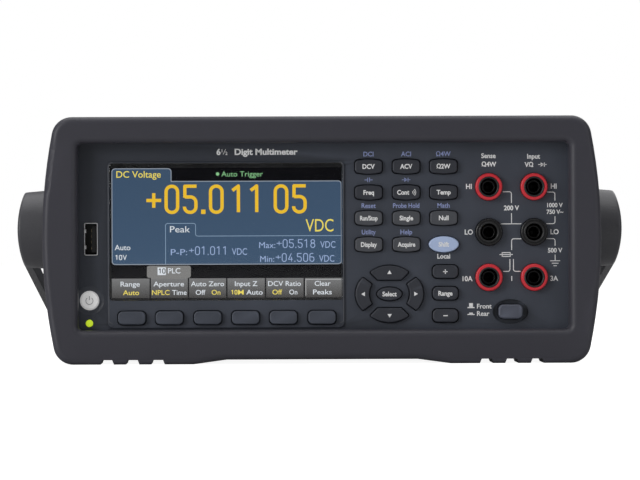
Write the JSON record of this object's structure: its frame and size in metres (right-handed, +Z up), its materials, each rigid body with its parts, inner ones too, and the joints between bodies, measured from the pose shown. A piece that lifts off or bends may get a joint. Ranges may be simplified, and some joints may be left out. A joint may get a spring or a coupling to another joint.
{
  "type": "bench multimeter",
  "caption": "Half-rack bench multimeter with a colour display, keypad, shrouded input jacks, rubber bumpers and a swinging bail handle.",
  "frame": {"origin": "on the table under the middle of the instrument's bounding box", "axes": "+Z up, the front panel faces -Y, +X to the right of someone reading the display"},
  "size_m": [0.2612, 0.3032, 0.1038],
  "materials": {
    "panel_plastic": "fine-textured charcoal ABS",
    "key_dark": "charcoal key moulding",
    "key_grey": "mid-grey key moulding",
    "key_shift": "light blue key moulding",
    "power_white": "white translucent button",
    "bumper_rubber": "charcoal elastomer, satin",
    "handle_plastic": "charcoal moulded handle",
    "boss_plastic": "charcoal nylon",
    "case_paint": "textured grey powder coat",
    "sheet_steel": "zinc-plated sheet",
    "window": "clear hard-coated window",
    "lcd": "display panel",
    "led": "lime green light pipe",
    "connector_steel": "tin-plated shell",
    "silicone": "grey silicone",
    "circuit_board": "green solder mask",
    "component": "black epoxy and sleeving",
    "jack_red": "red polyamide",
    "jack_black": "black polyamide",
    "contact_brass": "gold-flashed brass",
    "transformer_core": "lacquered laminations and taped coil",
    "ribbon": "grey flat cable",
    "inlet_black": "black thermoplastic",
    "nickel": "nickel plating",
    "fan_black": "black glass-filled plastic",
    "cover_steel": "painted steel"
  },
  "bodies": {
    "instrument": {"ac_inlet": "inlet_black", "black_jack_bushes": "jack_black", "bnc_sockets": "nickel", "board_components": "component", "case_sleeve": "case_paint", "chassis": "sheet_steel", "display_window": "window", "fan_frame": "fan_black", "fasteners": "nickel", "front_board": "circuit_board", "front_bumper": "bumper_rubber", "front_panel": "panel_plastic", "front_usb_socket": "connector_steel", "jack_contacts": "contact_brass", "keypad_mat": "silicone", "lan_socket": "connector_steel", "lcd_module": "lcd", "main_board": "circuit_board", "option_cover": "cover_steel", "pivot_bosses": "boss_plastic", "power_led": "led", "rear_bumper": "bumper_rubber", "rear_panel": "cover_steel", "rear_usb_socket": "connector_steel", "red_jack_bushes": "jack_red", "ribbon_cable": "ribbon", "selector_switch": "component", "shield_can": "connector_steel", "transformer": "transformer_core"},
    "key_ac_volts": {"key_ac_volts": "key_dark"},
    "key_acquire": {"key_acquire": "key_grey"},
    "key_continuity": {"key_continuity": "key_dark"},
    "key_dc_volts": {"key_dc_volts": "key_dark"},
    "key_display": {"key_display": "key_grey"},
    "key_down": {"key_down": "key_dark"},
    "key_frequency": {"key_frequency": "key_dark"},
    "key_left": {"key_left": "key_dark"},
    "key_minus": {"key_minus": "key_dark"},
    "key_null": {"key_null": "key_grey"},
    "key_ohms": {"key_ohms": "key_dark"},
    "key_plus": {"key_plus": "key_dark"},
    "key_range": {"key_range": "key_dark"},
    "key_right": {"key_right": "key_dark"},
    "key_run_stop": {"key_run_stop": "key_grey"},
    "key_select": {"key_select": "key_dark"},
    "key_shift": {"key_shift": "key_shift"},
    "key_single": {"key_single": "key_grey"},
    "key_temperature": {"key_temperature": "key_dark"},
    "key_up": {"key_up": "key_dark"},
    "softkey_1": {"softkey_1": "key_dark"},
    "softkey_2": {"softkey_2": "key_dark"},
    "softkey_3": {"softkey_3": "key_dark"},
    "softkey_4": {"softkey_4": "key_dark"},
    "softkey_5": {"softkey_5": "key_dark"},
    "softkey_6": {"softkey_6": "key_dark"},
    "power_button": {"power_button": "power_white"},
    "selector_button": {"selector_button": "key_dark"},
    "handle": {"handle": "handle_plastic"},
    "fuse_drawer": {"fuse_drawer": "inlet_black"},
    "fan_rotor": {"fan_rotor": "fan_black"}
  },
  "joints": [
    {"name": "handle_swing", "type": "hinge", "parent": "instrument", "child": "handle", "pos_m": [0, -0.0616, 0.0568], "axis": [-1, 0, 0], "range_deg": [0, 250]},
    {"name": "selector_press", "type": "slide", "parent": "instrument", "child": "selector_button", "axis": [0, 1, 0], "range_m": [0, 0.003], "stiffness_N_per_m": 400},
    {"name": "fuse_drawer_slide", "type": "slide", "parent": "instrument", "child": "fuse_drawer", "axis": [0, 1, 0], "range_m": [0, 0.018]},
    {"name": "fan_spin", "type": "hinge", "parent": "instrument", "child": "fan_rotor", "pos_m": [-0.022, 0.1275, 0.056], "axis": [0, 1, 0], "continuous": true},
    {"name": "key_ac_volts_press", "type": "slide", "parent": "instrument", "child": "key_ac_volts", "axis": [0, 1, 0], "range_m": [0, 0.001], "stiffness_N_per_m": 500},
    {"name": "key_acquire_press", "type": "slide", "parent": "instrument", "child": "key_acquire", "axis": [0, 1, 0], "range_m": [0, 0.001], "stiffness_N_per_m": 500},
    {"name": "key_continuity_press", "type": "slide", "parent": "instrument", "child": "key_continuity", "axis": [0, 1, 0], "range_m": [0, 0.001], "stiffness_N_per_m": 500},
    {"name": "key_dc_volts_press", "type": "slide", "parent": "instrument", "child": "key_dc_volts", "axis": [0, 1, 0], "range_m": [0, 0.001], "stiffness_N_per_m": 500},
    {"name": "key_display_press", "type": "slide", "parent": "instrument", "child": "key_display", "axis": [0, 1, 0], "range_m": [0, 0.001], "stiffness_N_per_m": 500},
    {"name": "key_down_press", "type": "slide", "parent": "instrument", "child": "key_down", "axis": [0, 1, 0], "range_m": [0, 0.001], "stiffness_N_per_m": 500},
    {"name": "key_frequency_press", "type": "slide", "parent": "instrument", "child": "key_frequency", "axis": [0, 1, 0], "range_m": [0, 0.001], "stiffness_N_per_m": 500},
    {"name": "key_left_press", "type": "slide", "parent": "instrument", "child": "key_left", "axis": [0, 1, 0], "range_m": [0, 0.001], "stiffness_N_per_m": 500},
    {"name": "key_minus_press", "type": "slide", "parent": "instrument", "child": "key_minus", "axis": [0, 1, 0], "range_m": [0, 0.001], "stiffness_N_per_m": 500},
    {"name": "key_null_press", "type": "slide", "parent": "instrument", "child": "key_null", "axis": [0, 1, 0], "range_m": [0, 0.001], "stiffness_N_per_m": 500},
    {"name": "key_ohms_press", "type": "slide", "parent": "instrument", "child": "key_ohms", "axis": [0, 1, 0], "range_m": [0, 0.001], "stiffness_N_per_m": 500},
    {"name": "key_plus_press", "type": "slide", "parent": "instrument", "child": "key_plus", "axis": [0, 1, 0], "range_m": [0, 0.001], "stiffness_N_per_m": 500},
    {"name": "key_range_press", "type": "slide", "parent": "instrument", "child": "key_range", "axis": [0, 1, 0], "range_m": [0, 0.001], "stiffness_N_per_m": 500},
    {"name": "key_right_press", "type": "slide", "parent": "instrument", "child": "key_right", "axis": [0, 1, 0], "range_m": [0, 0.001], "stiffness_N_per_m": 500},
    {"name": "key_run_stop_press", "type": "slide", "parent": "instrument", "child": "key_run_stop", "axis": [0, 1, 0], "range_m": [0, 0.001], "stiffness_N_per_m": 500},
    {"name": "key_select_press", "type": "slide", "parent": "instrument", "child": "key_select", "axis": [0, 1, 0], "range_m": [0, 0.001], "stiffness_N_per_m": 500},
    {"name": "key_shift_press", "type": "slide", "parent": "instrument", "child": "key_shift", "axis": [0, 1, 0], "range_m": [0, 0.001], "stiffness_N_per_m": 500},
    {"name": "key_single_press", "type": "slide", "parent": "instrument", "child": "key_single", "axis": [0, 1, 0], "range_m": [0, 0.001], "stiffness_N_per_m": 500},
    {"name": "key_temperature_press", "type": "slide", "parent": "instrument", "child": "key_temperature", "axis": [0, 1, 0], "range_m": [0, 0.001], "stiffness_N_per_m": 500},
    {"name": "key_up_press", "type": "slide", "parent": "instrument", "child": "key_up", "axis": [0, 1, 0], "range_m": [0, 0.001], "stiffness_N_per_m": 500},
    {"name": "softkey_1_press", "type": "slide", "parent": "instrument", "child": "softkey_1", "axis": [0, 1, 0], "range_m": [0, 0.001], "stiffness_N_per_m": 500},
    {"name": "softkey_2_press", "type": "slide", "parent": "instrument", "child": "softkey_2", "axis": [0, 1, 0], "range_m": [0, 0.001], "stiffness_N_per_m": 500},
    {"name": "softkey_3_press", "type": "slide", "parent": "instrument", "child": "softkey_3", "axis": [0, 1, 0], "range_m": [0, 0.001], "stiffness_N_per_m": 500},
    {"name": "softkey_4_press", "type": "slide", "parent": "instrument", "child": "softkey_4", "axis": [0, 1, 0], "range_m": [0, 0.001], "stiffness_N_per_m": 500},
    {"name": "softkey_5_press", "type": "slide", "parent": "instrument", "child": "softkey_5", "axis": [0, 1, 0], "range_m": [0, 0.001], "stiffness_N_per_m": 500},
    {"name": "softkey_6_press", "type": "slide", "parent": "instrument", "child": "softkey_6", "axis": [0, 1, 0], "range_m": [0, 0.001], "stiffness_N_per_m": 500},
    {"name": "power_button_press", "type": "slide", "parent": "instrument", "child": "power_button", "axis": [0, 1, 0], "range_m": [0, 0.001], "stiffness_N_per_m": 500}
  ]
}
